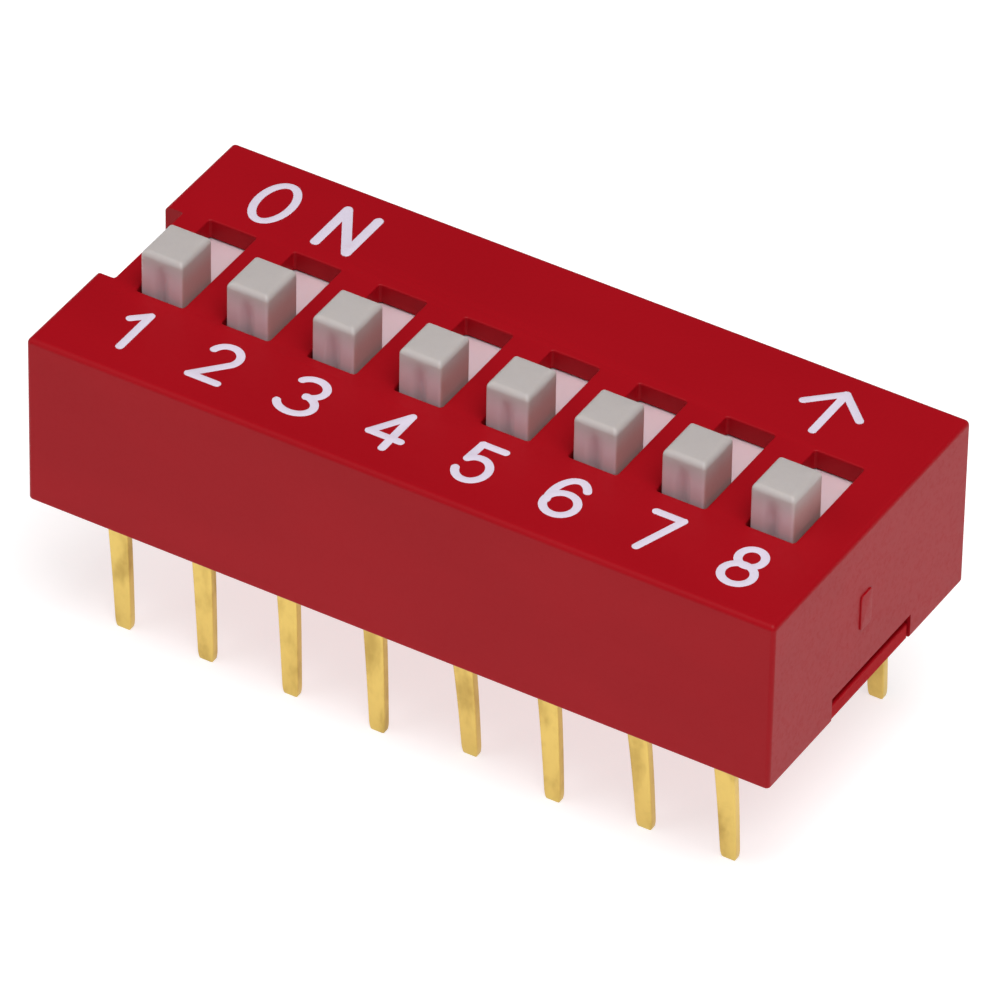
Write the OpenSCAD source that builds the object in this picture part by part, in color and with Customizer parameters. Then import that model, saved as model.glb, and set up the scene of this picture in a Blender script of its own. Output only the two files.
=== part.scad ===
// Eight-way slide DIP switch for through-hole boards.
// X runs along the body from switch 1 to switch 8, +Y is the ON side, Z = 0 is the board's top face.

/* [Grid] */
// Distance between neighbouring switches, and between the pins of one row
pitch = 2.54; // [2.1:0.02:3.2]
// Distance between the two rows of pins
row_gap = 7.62; // [7.4:0.02:7.9]

/* [Cover] */
// Distance from the last switch's centre to the end face
cover_end = 1.97; // [1.9:0.01:3]
// Width of the cover across the pin rows
cover_w = 9.8; // [9.6:0.05:12]
// Height of the cover above the board
cover_h = 5.15; // [4.8:0.05:6.5]
// Thickness of the cover's top
top_wall = 0.55; // [0.4:0.05:0.7]
// Thickness of the long skirt walls that hold the base
skirt_wall = 0.5; // [0.4:0.05:0.55]
// Thickness of the end walls
end_wall = 1; // [0.8:0.05:1.05]
// Rounding of the cover's upright corners
corner_r = 0.12; // [0.1:0.01:0.4]
// Rounding of the edges round the cover's top
top_r = 0.16; // [0.1:0.02:0.34]
// Rounding of the edges round the cover's rim
rim_r = 0.08; // [0.05:0.01:0.25]

/* [Key notch at the switch 1 end] */
// Width of the notch
notch_w = 3.25; // [2:0.05:5]
// Depth of the notch into the end wall
notch_d = 0.55; // [0.3:0.05:0.6]
// Height of the notch down from the top
notch_h = 3.6; // [1:0.1:3.8]

/* [Cover slots and base tongues] */
// Width of the slot at the foot of each end wall
slot_w = 3.95; // [3:0.05:6]
// Height of that slot
slot_h = 0.75; // [0.5:0.05:1]
// Sideways place of the slots and tongues from the middle
slot_y = 0.2; // [-0.4:0.05:0.4]
// Gap above a tongue in its slot
tongue_gap = 0.28; // [0.1:0.02:0.34]
// Gap at each side of a tongue
tongue_side_gap = 0.06; // [0.03:0.01:0.2]
// How far a tongue's end stays inside the end face
tongue_inset = 0.05; // [0.02:0.01:0.5]

/* [Gate mark at the switch 8 end] */
// Width of the raised moulding mark
gate_w = 0.62; // [0.4:0.02:1]
// Height of the mark
gate_h = 1.18; // [0.8:0.02:1.6]
// How far the mark stands out
gate_t = 0.08; // [0.04:0.02:0.2]
// Sideways place of the mark from the middle
gate_y = -0.25; // [-1:0.05:1]
// Height of the mark's middle above the board
gate_z = 2.6; // [2:0.1:3.6]

/* [Sliders] */
// Travel of a slider from OFF to ON
travel = 1.9; // [1.6:0.05:2]
// Length of a knob along the travel
knob_l = 1.42; // [1.1:0.02:1.5]
// Width of a knob
knob_w = 1.24; // [1:0.02:1.3]
// Height of a knob above the cover
knob_h = 1.27; // [0.6:0.01:2]
// Rounding of the edges round a knob's top
knob_r = 0.16; // [0.08:0.01:0.2]
// Rounding of a knob's upright edges
knob_corner_r = 0.08; // [0.04:0.01:0.16]
// Depth of the finger groove in a knob's front and back
groove_d = 0.12; // [0.06:0.01:0.16]
// Radius of that groove
groove_r = 0.22; // [0.18:0.01:0.3]
// Thickness of a slider's plate
plate_t = 0.5; // [0.4:0.05:0.7]
// How far the plate reaches past the window's long sides
plate_lap = 0.24; // [0.15:0.01:0.3]
// How far the plate still covers the window's end at each end of the travel
plate_reach = 0.1; // [0.05:0.01:0.12]
// Width of the keel under the plate
keel_w = 1.2; // [0.9:0.05:1.4]
// Length of that keel
keel_l = 1.5; // [1.2:0.05:2]
// Diameter of the stake that holds the contact
stake_d = 0.42; // [0.3:0.02:0.5]
// Diameter of the stake's flattened head
stake_head_d = 0.8; // [0.6:0.05:1]
// Thickness of that head
stake_head_t = 0.15; // [0.1:0.01:0.2]

/* [Moving contacts] */
// Thickness of the contact strip
contact_t = 0.1; // [0.06:0.01:0.14]
// Width of the contact strip
contact_w = 1.04; // [0.9:0.02:1.1]
// Width of the slit between its two fingers
slit_w = 0.2; // [0.1:0.02:0.3]
// Height of the strip's flat middle above the base's floor
contact_rise = 0.75; // [0.7:0.05:0.9]
// Length of the flat middle
contact_flat = 1.2; // [1:0.05:1.3]
// Outer radius of the curled feet
foot_r = 0.3; // [0.22:0.02:0.34]
// Distance of the open foot from the switch's middle at rest
foot_in = 0.27; // [0.2:0.01:0.35]

/* [Base] */
// Height of the base's floor above the board
floor_z = 2.1; // [1.8:0.05:2.2]
// Width of the epoxy trough round each row of pins
trough_w = 0.64; // [0.5:0.02:0.66]
// Depth of that trough
trough_d = 0.4; // [0.2:0.05:0.6]
// Depth of the epoxy's surface inside the trough
seal_inset = 0.06; // [0.02:0.01:0.12]

/* [Terminals] */
// Thickness of the terminal strip
term_t = 0.25; // [0.2:0.01:0.3]
// Length of a pin below the cover's rim
pin_l = 3.9; // [2.5:0.1:4.5]
// Width of a pin where it leaves the base
pin_w = 0.62; // [0.4:0.02:0.7]
// Width of a pin at its tip
pin_tip_w = 0.46; // [0.3:0.02:0.5]
// Width of the contact pad inside
pad_w = 1.2; // [1.1:0.05:1.3]
// Insulating gap between the two pads of a switch
pad_gap = 0.5; // [0.4:0.02:0.52]
// Height of the terminal's shoulders above the board
shoulder_z = 1.1; // [0.8:0.05:1.3]
// Inside radius of the bend
bend_r = 0.15; // [0.1:0.01:0.2]

/* [Clearances] */
// Gap between a sliding piece and what guides it
slide_gap = 0.05; // [0.02:0.01:0.1]
// Gap between a knob and its window's long sides
knob_gap = 0.09; // [0.06:0.01:0.15]
// Gap left at each end of a slider's travel
stop_gap = 0.09; // [0.05:0.01:0.15]
// Gap between the base and the cover round it
base_gap = 0.03; // [0.01:0.01:0.05]
// Gap between a terminal or stake and the hole that holds it
press_gap = 0.01; // [0.005:0.005:0.02]
// Gap between the feet and the pads that they slide over
foot_gap = 0.01; // [0.01:0.01:0.03]

/* [Hidden] */
$fn = 48;
positions = 8;
eps = 0.01;
far = 40;

RED = [0.66, 0.06, 0.1];
BASE_RED = [0.6, 0.06, 0.1];
IVORY = [0.86, 0.85, 0.81];
GOLD = [0.86, 0.68, 0.3];
EPOXY = [0.5, 0.34, 0.14];

numbers = [1 : positions];
function switch_x(n) = (n - (positions + 1) / 2) * pitch;

cover_l = (positions - 1) * pitch + 2 * cover_end;
ceiling_z = cover_h - top_wall;
window_w = knob_w + 2 * knob_gap;
window_l = knob_l + travel + 2 * stop_gap;

plate_w = window_w + 2 * plate_lap;
plate_l = window_l + travel + 2 * plate_reach;
plate_top = ceiling_z - slide_gap;
channel_w = plate_w + 2 * slide_gap;
channel_l = plate_l + travel + 2 * stop_gap;
off_y = -travel / 2;

pocket_l = cover_l - 2 * end_wall;
pocket_w = cover_w - 2 * skirt_wall;
base_l = pocket_l - 2 * base_gap;
base_w = pocket_w - 2 * base_gap;
tongue_w = slot_w - 2 * tongue_side_gap;
tongue_h = slot_h - tongue_gap;
tongue_span = cover_l - 2 * tongue_inset;

contact_z = floor_z + contact_rise;
foot_y = travel / 2 + foot_in;
front_pad_end = foot_in - pad_gap / 2;
rear_pad_end = foot_in + pad_gap / 2;

trough_l = (positions - 1) * pitch + 2 * trough_w;
term_y = row_gap / 2 + term_t / 2;

// Rectangle with rounded corners, centred on the origin.
module round_rect(w, h, r) {
    square([w - 2 * r, h], center = true);
    square([w, h - 2 * r], center = true);
    for (x = [-1, 1], y = [-1, 1])
        translate([x * (w / 2 - r), y * (h / 2 - r)]) circle(r = r);
}

// Upright outline of a moulding: w wide, from z = 0 to h, with its own roundings above and below.
module upright(w, h, r_top, r_foot) {
    translate([-w / 2, r_foot]) square([w, h - r_top - r_foot]);
    translate([-w / 2 + r_top, h / 2]) square([w - 2 * r_top, h / 2]);
    translate([-w / 2 + r_foot, 0]) square([w - 2 * r_foot, h / 2]);
    for (x = [-1, 1]) {
        translate([x * (w / 2 - r_top), h - r_top]) circle(r = r_top);
        if (r_foot > 0) translate([x * (w / 2 - r_foot), r_foot]) circle(r = r_foot);
    }
}

// Turns an outline drawn in X and Z into a bar along Y, centred on Y = 0.
module along_y(length) rotate([90, 0, 0]) linear_extrude(length, center = true) children();

// Turns an outline drawn in Y and Z into a bar along X, centred on X = 0.
module along_x(length) rotate([90, 0, 90]) linear_extrude(length, center = true) children();

// Block on z = 0 whose upright, upper and lower edges are all rounded.
module moulded_block(l, w, h, r_side, r_top, r_foot) {
    intersection() {
        linear_extrude(h) round_rect(l, w, r_side);
        along_y(w + 1) upright(l, h, r_top, r_foot);
        along_x(l + 1) upright(w, h, r_top, r_foot);
    }
}

// Box centred on X and Y, between two heights.
module slab(l, w, z0, z1) translate([-l / 2, -w / 2, z0]) cube([l, w, z1 - z0]);

// Side outline of a front terminal's strip in Y and Z, grown by gap: upright pin, bend and flat pad.
module terminal_side(pad_end, gap) {
    outer_r = bend_r + term_t;
    difference() {
        union() {
            translate([-term_y - gap, -pin_l - gap])
                square([term_t + 2 * gap, pin_l + floor_z - outer_r + gap]);
            translate([-term_y + outer_r, floor_z - term_t])
                square([pad_end + gap + term_y - outer_r, term_t]);
            translate([-term_y + outer_r, floor_z - outer_r]) bend_arc(outer_r + gap, bend_r - gap);
        }
        translate([-far, floor_z]) square([2 * far, 1]);
    }
}

// Quarter ring that joins the upright strip to the flat one.
module bend_arc(outer, inner) {
    intersection() {
        difference() {
            circle(r = outer);
            circle(r = inner);
        }
        translate([-outer, 0]) square([outer, outer]);
    }
}

// Front outline of a terminal in X and Z, grown by gap: tapered pin under a wide pad.
module terminal_front(gap) {
    top = floor_z + 1;
    polygon([
        [-pin_tip_w / 2 - gap, -pin_l - gap], [pin_tip_w / 2 + gap, -pin_l - gap],
        [pin_w / 2 + gap, 0], [pin_w / 2 + gap, shoulder_z - gap],
        [pad_w / 2 + gap, shoulder_z - gap], [pad_w / 2 + gap, top],
        [-pad_w / 2 - gap, top], [-pad_w / 2 - gap, shoulder_z - gap],
        [-pin_w / 2 - gap, shoulder_z - gap], [-pin_w / 2 - gap, 0]
    ]);
}

// Front terminal of the switch at X = 0.
module terminal_shape(pad_end, gap = 0) {
    intersection() {
        along_x(pad_w + 1) terminal_side(pad_end, gap);
        along_y(far) terminal_front(gap);
    }
}

module front_terminal(n, gap = 0) {
    color(GOLD) translate([switch_x(n), 0, 0]) terminal_shape(front_pad_end, gap);
}

module rear_terminal(n, gap = 0) {
    color(GOLD) translate([switch_x(n), 0, 0]) mirror([0, 1, 0]) terminal_shape(-rear_pad_end, gap);
}

// Red shell: ribbed channels for the sliders above, a pocket for the base below.
module cover() {
    color(RED) difference() {
        union() {
            moulded_block(cover_l, cover_w, cover_h, corner_r, top_r, rim_r);
            gate_mark();
        }
        for (n = numbers) translate([switch_x(n), 0, 0]) {
            slab(window_w, window_l, ceiling_z - eps, cover_h + 1);
            slab(channel_w, channel_l, floor_z - eps, ceiling_z);
        }
        slab(pocket_l, pocket_w, -1, floor_z);
        translate([0, slot_y, 0]) slab(cover_l + 2, slot_w, -1, slot_h);
        translate([-cover_l / 2 - 1, -notch_w / 2, cover_h - notch_h])
            cube([notch_d + 1, notch_w, notch_h + 1]);
    }
}

// Remains of the moulding gate on the end face.
module gate_mark() {
    translate([cover_l / 2, gate_y, gate_z]) rotate([90, 0, 90]) translate([0, 0, -eps])
        linear_extrude(gate_t + eps) round_rect(gate_w, gate_h, gate_w / 5);
}

// Red floor that carries the terminals; its two tongues lie in the cover's end slots.
module base() {
    color(BASE_RED) difference() {
        union() {
            slab(base_l, base_w, 0, floor_z);
            translate([0, slot_y, 0]) slab(tongue_span, tongue_w, 0, tongue_h);
        }
        for (n = numbers) {
            front_terminal(n, press_gap);
            rear_terminal(n, press_gap);
        }
        for (side = [-1, 1]) translate([0, side * row_gap / 2, -1]) linear_extrude(trough_d + 1) trough();
    }
}

// Outline of one epoxy trough, with round ends.
module trough() {
    square([trough_l - trough_w, trough_w], center = true);
    for (end = [-1, 1]) translate([end * (trough_l - trough_w) / 2, 0]) circle(d = trough_w);
}

// Epoxy poured round one row of pins; side is -1 for the front row and 1 for the rear row.
module seal(side) {
    color(EPOXY) difference() {
        translate([0, side * row_gap / 2, seal_inset]) linear_extrude(trough_d - seal_inset) trough();
        for (n = numbers) translate([switch_x(n), side * row_gap / 2, 0])
            slab(pin_w, term_t, -1, trough_d + 1);
    }
}

// Finger knob: rounded block with a groove down its front and back.
module knob() {
    rise = cover_h + knob_h - plate_top;
    translate([0, 0, plate_top - eps]) difference() {
        moulded_block(knob_w, knob_l, rise + eps, knob_corner_r, knob_r, 0);
        for (side = [-1, 1]) translate([0, side * (knob_l / 2 - groove_d + groove_r), -1])
            cylinder(r = groove_r, h = rise + 2);
    }
}

// Nylon slider number n in its OFF place: knob, plate, keel and the stake that holds the contact.
module slider(n) {
    color(IVORY) translate([switch_x(n), off_y, 0]) {
        knob();
        slab(plate_w, plate_l, plate_top - plate_t, plate_top);
        slab(keel_w, keel_l, contact_z + contact_t, plate_top - plate_t + eps);
        translate([0, 0, contact_z - eps]) cylinder(d = stake_d, h = contact_t + 2 * eps);
        translate([0, 0, contact_z - stake_head_t]) cylinder(d = stake_head_d, h = stake_head_t);
    }
}

// Side outline of half a contact in Y and Z: flat middle, sloping arm and curled foot.
module contact_half() {
    mid_r = foot_r - contact_t / 2;
    knee = [contact_flat / 2, contact_z + contact_t / 2];
    curl = [foot_y, floor_z + foot_gap + foot_r];
    reach = norm(curl - knee);
    slope = atan2(curl.y - knee.y, curl.x - knee.x) - asin(mid_r / reach);
    arm = sqrt(reach * reach - mid_r * mid_r);
    translate([0, contact_z]) square([knee.x, contact_t]);
    translate(knee) {
        circle(d = contact_t);
        rotate(slope) translate([0, -contact_t / 2]) square([arm, contact_t]);
    }
    translate(curl) intersection() {
        difference() {
            circle(r = foot_r);
            circle(r = foot_r - contact_t);
        }
        polygon([[0, 0], far * [cos(slope - 90), sin(slope - 90)], far * [1, -1.5], far * [1, 0.1]]);
    }
}

// Bridging contact number n, staked under its slider; its feet join both pads at ON.
module contact(n) {
    color(GOLD) translate([switch_x(n), off_y, 0]) difference() {
        along_x(contact_w) {
            contact_half();
            mirror([1, 0]) contact_half();
        }
        translate([0, 0, contact_z - 1]) cylinder(d = stake_d + 2 * press_gap, h = contact_t + 2);
        for (side = [-1, 1]) translate([0, side * (contact_flat / 2 + far / 2 - 2 * contact_t), 0])
            slab(slit_w, far, floor_z - 1, ceiling_z);
    }
}

cover();
base();
seal(-1);  // front_seal
seal(1);  // rear_seal
for (n = numbers) {
    slider(n);
    contact(n);
    front_terminal(n);
    rear_terminal(n);
}
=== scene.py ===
"""Visual model of an eight-way slide DIP switch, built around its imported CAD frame.

Lengths are in millimetres until a mesh, a light or the camera is made, which turns them into metres.
X runs from switch 1 to switch 8, +Y is the ON side, and Z = 0 is where the body seats on its board.
"""
import logging
import math
from dataclasses import dataclass
from enum import Enum
from typing import Any, Mapping, NamedTuple, Optional, Sequence, Union

import bmesh
import bpy
import numpy as np
from bpy.types import Material, Mesh, NodeSocket, Object
from mathutils import Matrix, Vector
from mathutils.geometry import tessellate_polygon


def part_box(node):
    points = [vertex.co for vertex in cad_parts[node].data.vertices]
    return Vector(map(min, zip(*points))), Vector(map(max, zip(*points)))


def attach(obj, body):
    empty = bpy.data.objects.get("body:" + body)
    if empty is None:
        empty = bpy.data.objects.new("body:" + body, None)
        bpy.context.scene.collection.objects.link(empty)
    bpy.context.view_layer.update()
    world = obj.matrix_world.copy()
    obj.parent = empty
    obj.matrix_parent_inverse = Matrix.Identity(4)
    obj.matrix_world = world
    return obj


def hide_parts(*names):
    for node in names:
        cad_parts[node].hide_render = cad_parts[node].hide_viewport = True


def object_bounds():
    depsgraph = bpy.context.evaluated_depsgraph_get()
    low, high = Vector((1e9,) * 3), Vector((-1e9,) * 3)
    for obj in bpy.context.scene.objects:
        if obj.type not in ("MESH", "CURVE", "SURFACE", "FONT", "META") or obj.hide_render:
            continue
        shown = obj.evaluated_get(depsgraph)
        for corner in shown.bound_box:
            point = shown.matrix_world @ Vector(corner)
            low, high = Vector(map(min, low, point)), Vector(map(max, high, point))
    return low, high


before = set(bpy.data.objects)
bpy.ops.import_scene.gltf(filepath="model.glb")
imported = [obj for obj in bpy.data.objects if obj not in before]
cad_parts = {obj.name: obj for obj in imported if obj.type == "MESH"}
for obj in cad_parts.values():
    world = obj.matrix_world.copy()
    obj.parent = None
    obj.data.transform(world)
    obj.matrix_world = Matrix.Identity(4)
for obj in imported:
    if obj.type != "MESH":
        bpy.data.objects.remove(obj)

CAD_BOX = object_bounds()
MM = 0.001
SWITCHES = range(1, 9)
HOUSING = "housing"
LOG = logging.getLogger("dip_switch")

SEAM = 0.0005  # points closer than this become one
SLIVER = 0.0003  # edges shorter than this are dropped
COPLANAR = math.radians(0.5)  # faces that differ by less than this become one flat face
SOFTENED = math.radians(50)  # edges that turn by more than this can take a bevel
CREASED = math.radians(40)  # edges that turn by more than this are shaded sharp

Pair = tuple[float, float]
Triple = tuple[float, float, float]


class Row(Enum):
    """The two rows of pins; the value is the sign of their Y."""

    FRONT = -1
    REAR = 1


class Cut(Enum):
    """How two closed meshes are combined."""

    AWAY = "DIFFERENCE"
    TOGETHER = "UNION"


# Measures from the frame


def node_box(node: str) -> np.ndarray:
    """Lowest and highest corners of a CAD node, as an array (2, 3) in millimetres."""
    return np.array(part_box(node)) / MM


def switch_x(number: int) -> float:
    """X of the middle of one switch, in millimetres."""
    return float(node_box(f"slider_{number}")[:, 0].mean())


# Outlines and surfaces


def rounded_loops(half_x: Any, half_y: Any, corner: Any, arc: int = 6, side: int = 6) -> np.ndarray:
    """Rounded rectangles, as closed loops whose points match from one rectangle to the next.

    Each corner is a quarter circle round a centre set in from the corner by its radius, and each straight
    side joins the end of one quarter circle to the start of the next in equal steps.

    Args:
        half_x: Half lengths along X.
        half_y: Half lengths along Y.
        corner: Corner radii.
        arc: Steps round each corner.
        side: Points inside each straight side.

    Returns:
        Array (rectangles, points, 2).
    """
    parts = (np.atleast_1d(np.asarray(v, float)) for v in (half_x, half_y, corner))
    half_x, half_y, corner = np.broadcast_arrays(*parts)
    angle = (np.arange(4)[:, None] + np.linspace(0, 1, arc + 1)) * math.pi / 2
    quadrant = np.array([[1, 1], [-1, 1], [-1, -1], [1, -1]])
    centre = quadrant * np.stack([half_x - corner, half_y - corner], -1)[:, None, :]
    circle = np.stack([np.cos(angle), np.sin(angle)], -1)
    arcs = centre[:, :, None, :] + corner[:, None, None, None] * circle
    start, end = arcs[:, :, -1:], np.roll(arcs, -1, 1)[:, :, :1]
    sides = start + (end - start) * np.linspace(0, 1, side + 2)[1:-1, None]
    return np.concatenate([arcs, sides], 2).reshape(len(half_x), -1, 2)


def quarter(radius: float, steps: int) -> tuple[np.ndarray, np.ndarray]:
    """Quarter round from a flat to a wall: how far in from the wall and below the flat each point lies."""
    angle = np.linspace(0, math.pi / 2, steps + 1)
    return radius * (1 - np.sin(angle)), radius * (1 - np.cos(angle))


class Surface:
    """Points and faces of one piece, gathered as whole arrays and written to a mesh in one go."""

    def __init__(self) -> None:
        """Starts with no points and no faces."""
        self.points: list[np.ndarray] = []
        self.faces: list[np.ndarray] = []
        self.count = 0

    def add(self, points: np.ndarray, *faces: np.ndarray) -> "Surface":
        """Adds points and the faces that index them.

        Args:
            points: Array (n, 3) in millimetres.
            faces: Arrays (k, 3) or (k, 4) of indices into points.

        Returns:
            This surface, to chain calls.
        """
        self.faces += [np.asarray(f) + self.count for f in faces]
        self.points.append(points)
        self.count += len(points)
        return self

    def rings(self, points: np.ndarray, closed: bool = False, caps: bool = False) -> "Surface":
        """Adds a surface of two parameters: rings of points, stacked one after another.

        Args:
            points: Array (rings, points, 3).
            closed: Joins the last ring to the first, as on a closed ribbon.
            caps: Closes the first and last rings with a fan round their middle.

        Returns:
            This surface.
        """
        number, size = points.shape[:2]
        index = np.arange(number * size).reshape(number, size)
        low = index if closed else index[:-1]
        high = np.roll(index, -1, 0) if closed else index[1:]
        quads = np.stack([low, np.roll(low, -1, 1), np.roll(high, -1, 1), high], -1).reshape(-1, 4)
        flat = points.reshape(-1, 3)
        if not caps:
            return self.add(flat, quads)
        middles = np.stack([points[0].mean(0), points[-1].mean(0)])
        first = np.stack([np.full(size, len(flat)), np.roll(index[0], -1), index[0]], -1)
        last = np.stack([np.full(size, len(flat) + 1), index[-1], np.roll(index[-1], -1)], -1)
        return self.add(np.vstack([flat, middles]), quads, first, last)

    def stack(self, loops: np.ndarray, heights: Any, caps: bool = False) -> "Surface":
        """Adds level rings: loops, an array (rings, points, 2) in X and Y, one at each of the heights."""
        level = np.broadcast_to(np.asarray(heights, float)[:, None, None], loops.shape[:2] + (1,))
        return self.rings(np.concatenate([loops, level], 2), caps=caps)

    def sheet(self, loops: Sequence[np.ndarray], height: float) -> "Surface":
        """Adds a level sheet, bounded by its first loop and pierced by the others.

        Args:
            loops: Arrays (n, 2) of points in X and Y.
            height: The sheet's Z.

        Returns:
            This surface.
        """
        triangles = tessellate_polygon([[Vector((x, y, 0)) for x, y in loop.tolist()] for loop in loops])
        flat = np.vstack(loops)
        return self.add(np.column_stack([flat, np.full(len(flat), height)]), np.array(triangles))

    def mesh(self, name: str) -> Mesh:
        """Writes the surface to a new mesh in metres, with merged seams and faces turned outwards.

        Args:
            name: Name of the mesh.

        Returns:
            The mesh.
        """
        corners = np.concatenate([f.ravel() for f in self.faces])
        sizes = np.concatenate([np.full(len(f), f.shape[1]) for f in self.faces])
        mesh = bpy.data.meshes.new(name)
        mesh.vertices.add(self.count)
        mesh.vertices.foreach_set("co", (np.vstack(self.points) * MM).astype(np.float32).ravel())
        mesh.loops.add(len(corners))
        mesh.loops.foreach_set("vertex_index", corners.astype(np.int32))
        mesh.polygons.add(len(sizes))
        mesh.polygons.foreach_set("loop_start", (np.cumsum(sizes) - sizes).astype(np.int32))
        mesh.update(calc_edges=True)
        return tidied(mesh)


def linked(name: str, data: Any) -> Object:
    """Makes an object that holds some data and links it to the scene.

    Args:
        name: Name of the object.
        data: A mesh, a light or a camera.

    Returns:
        The object.
    """
    item = bpy.data.objects.new(name, data)
    bpy.context.scene.collection.objects.link(item)
    return item


def tidied(mesh: Mesh, flatten: bool = False) -> Mesh:
    """Merges doubled points, drops faces with no area and turns the faces outwards.

    Args:
        mesh: The mesh to tidy.
        flatten: Also joins coplanar triangles.

    Returns:
        The same mesh.
    """
    work = bmesh.new()
    work.from_mesh(mesh)
    bmesh.ops.remove_doubles(work, verts=work.verts, dist=SEAM * MM)
    bmesh.ops.dissolve_degenerate(work, edges=work.edges, dist=SLIVER * MM)
    if flatten:
        bmesh.ops.dissolve_limit(work, angle_limit=COPLANAR, verts=work.verts, edges=work.edges)
    bmesh.ops.recalc_face_normals(work, faces=work.faces)
    work.to_mesh(mesh)
    work.free()
    return mesh


def combined(mesh: Mesh, tool: Mesh, how: Cut) -> Mesh:
    """Cuts one closed mesh from another, or joins it on.

    Args:
        mesh: The mesh to work on.
        tool: The mesh that cuts or is joined.
        how: Which of the two.

    Returns:
        A new mesh.
    """
    pair = [linked("work", part) for part in (mesh, tool)]
    modifier = pair[0].modifiers.new("combine", "BOOLEAN")
    modifier.operation = how.value
    modifier.solver = "EXACT"
    modifier.object = pair[1]
    depsgraph = bpy.context.evaluated_depsgraph_get()
    result = bpy.data.meshes.new_from_object(pair[0].evaluated_get(depsgraph))
    for item in pair:
        bpy.data.objects.remove(item)
    result.name = mesh.name
    return tidied(result)


def mark_edges(mesh: Mesh, low: Sequence[float], high: Sequence[float]) -> None:
    """Gives full bevel weight to the sharp edges that lie inside a box.

    An edge is sharp where the dot product of its two faces' normals is below the cosine of SOFTENED.

    Args:
        mesh: The mesh whose edges are marked.
        low: The box's lowest corner.
        high: Its highest corner.
    """
    points = np.empty(len(mesh.vertices) * 3, np.float32)
    mesh.vertices.foreach_get("co", points)
    ends = np.empty(len(mesh.edges) * 2, np.int32)
    mesh.edges.foreach_get("vertices", ends)
    normals = np.empty(len(mesh.polygons) * 3, np.float32)
    mesh.polygons.foreach_get("normal", normals)
    sizes = np.empty(len(mesh.polygons), np.int32)
    mesh.polygons.foreach_get("loop_total", sizes)
    edges = np.empty(len(mesh.loops), np.int32)
    mesh.loops.foreach_get("edge_index", edges)
    owner = np.repeat(np.arange(len(sizes)), sizes)[np.argsort(edges, kind="stable")]
    paired = np.bincount(edges, minlength=len(mesh.edges)) == 2
    first = np.cumsum(np.bincount(edges, minlength=len(mesh.edges))) - 1
    normals = normals.reshape(-1, 3)
    level = (normals[owner[first]] * normals[owner[np.maximum(first - 1, 0)]]).sum(1)
    span = points.reshape(-1, 3)[ends.reshape(-1, 2)] / MM
    inside = ((span >= np.array(low)) & (span <= np.array(high))).all((1, 2))
    sharp = paired & inside & (level < math.cos(SOFTENED))
    name = "bevel_weight_edge"
    layer = mesh.attributes.get(name) or mesh.attributes.new(name, "FLOAT", "EDGE")
    weights = np.empty(len(mesh.edges), np.float32)
    layer.data.foreach_get("value", weights)
    layer.data.foreach_set("value", np.maximum(weights, sharp).astype(np.float32))


# Shader trees


class Wire:
    """One output socket of a shader tree. Arithmetic on wires adds Math nodes to the tree."""

    def __init__(self, bench: "Bench", socket: NodeSocket) -> None:
        """Keeps the tree's bench and the socket."""
        self.bench = bench
        self.socket = socket

    def math(self, operation: str, *terms: "Term") -> "Wire":
        """Adds one Math node, whose inputs are the terms in order, and gives its output."""
        return self.bench.node("ShaderNodeMath", {"operation": operation}, dict(enumerate(terms)))

    def __add__(self, other: "Term") -> "Wire":
        """This plus other."""
        return self.math("ADD", self, other)

    def __rsub__(self, other: "Term") -> "Wire":
        """Other less this."""
        return self.math("SUBTRACT", other, self)

    def __mul__(self, other: "Term") -> "Wire":
        """This times other."""
        return self.math("MULTIPLY", self, other)

    __radd__ = __add__
    __rmul__ = __mul__

    def band(self, low: float, high: float) -> "Wire":
        """A smooth step from 0, where this wire is low, to 1, where it is high."""
        settings = {"interpolation_type": "SMOOTHSTEP"}
        return self.bench.node("ShaderNodeMapRange", settings, {0: self, 1: low, 2: high, 3: 0.0, 4: 1.0})


Term = Union[Wire, float]
Colour = Triple


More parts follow.
